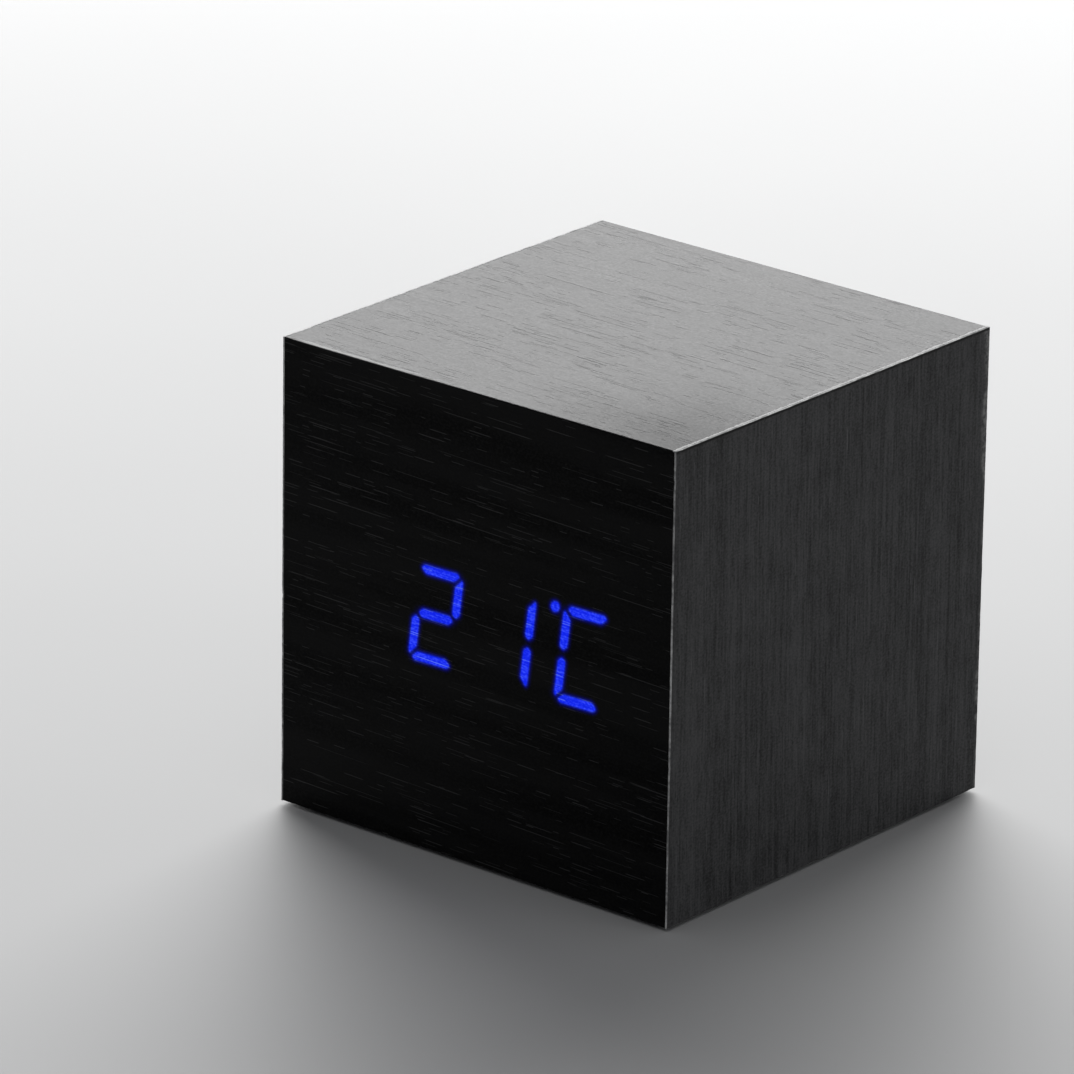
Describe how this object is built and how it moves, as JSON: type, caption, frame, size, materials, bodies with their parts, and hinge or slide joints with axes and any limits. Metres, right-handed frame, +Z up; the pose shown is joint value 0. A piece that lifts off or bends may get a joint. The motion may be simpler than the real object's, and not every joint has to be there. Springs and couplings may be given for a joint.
{
  "type": "cube desk clock with thermometer",
  "caption": "Black wood-grain cube desk clock with a blue LED display shining through the front veneer, keys and power socket on the back, and a battery bay in the base.",
  "frame": {"origin": "the surface the clock stands on, under the middle of the case", "axes": "+Z up, -Y out of the display, +X to the right of someone reading it"},
  "size_m": [0.068, 0.067, 0.0675],
  "materials": {
    "wrap_veneer": "black open-pored wood-grain veneer, satin",
    "side_veneer": "black streaked wood-grain veneer, satin",
    "fibreboard": "raw medium-density fibreboard",
    "black_plastic": "fine texture",
    "brown_plastic": "satin",
    "white_plastic": "satin",
    "unlit_guide": "frosted clear",
    "lit_guide": "frosted clear, lit blue from behind",
    "circuit_board": "green solder mask",
    "ribbon_cable": "ribbed",
    "plated_steel": "nickel plated",
    "aluminium": "satin",
    "cell_sleeve": "printed film over a metal can",
    "red_wire": "satin",
    "black_wire": "satin",
    "foot_rubber": "matt"
  },
  "bodies": {
    "case": {"back_board": "fibreboard", "battery_tray": "black_plastic", "bottom_board": "fibreboard", "bridge_contact_1": "plated_steel", "bridge_contact_2": "plated_steel", "bridge_contact_3": "plated_steel", "buzzer": "black_plastic", "cell_1": "cell_sleeve", "cell_2": "cell_sleeve", "cell_3": "cell_sleeve", "cell_4": "cell_sleeve", "clock_crystal": "plated_steel", "control_board": "circuit_board", "control_connector": "white_plastic", "control_plate": "black_plastic", "control_screw_1": "plated_steel", "control_screw_2": "plated_steel", "digit_1_light_guide": "unlit_guide", "digit_2_light_guide": "lit_guide", "digit_3_light_guide": "lit_guide", "digit_4_light_guide": "lit_guide", "display_board": "circuit_board", "display_connector": "white_plastic", "display_driver": "black_plastic", "display_reflector": "black_plastic", "display_screw_1": "plated_steel", "display_screw_2": "plated_steel", "down_switch": "black_plastic", "foot_1": "foot_rubber", "foot_2": "foot_rubber", "foot_3": "foot_rubber", "foot_4": "foot_rubber", "front_board": "fibreboard", "left_board": "fibreboard", "left_veneer": "side_veneer", "microcontroller": "black_plastic", "microphone": "aluminium", "negative_contact": "plated_steel", "negative_lead": "black_wire", "positive_contact": "plated_steel", "positive_lead": "red_wire", "power_socket": "black_plastic", "power_socket_pin": "plated_steel", "ribbon_cable": "ribbon_cable", "right_board": "fibreboard", "right_veneer": "side_veneer", "set_switch": "black_plastic", "smoothing_capacitor": "aluminium", "temperature_sensor": "brown_plastic", "top_board": "fibreboard", "up_switch": "black_plastic", "wrap_veneer": "wrap_veneer"},
    "battery_door": {"battery_door": "black_plastic"},
    "set_key": {"set_button": "black_plastic", "set_plunger": "brown_plastic"},
    "up_key": {"up_button": "black_plastic", "up_plunger": "brown_plastic"},
    "down_key": {"down_button": "black_plastic", "down_plunger": "brown_plastic"}
  },
  "joints": [
    {"name": "set_press", "type": "slide", "parent": "case", "child": "set_key", "axis": [0, -1, 0], "range_m": [0, 0.0003], "stiffness_N_per_m": 5000, "springref_m": -0.00005},
    {"name": "up_press", "type": "slide", "parent": "case", "child": "up_key", "axis": [0, -1, 0], "range_m": [0, 0.0003], "stiffness_N_per_m": 5000, "springref_m": -0.00005},
    {"name": "down_press", "type": "slide", "parent": "case", "child": "down_key", "axis": [0, -1, 0], "range_m": [0, 0.0003], "stiffness_N_per_m": 5000, "springref_m": -0.00005},
    {"name": "battery_door_hinge", "type": "hinge", "parent": "case", "child": "battery_door", "pos_m": [0, 0.0217, 0.0007], "axis": [1, 0, 0], "range_deg": [0, 90]}
  ]
}
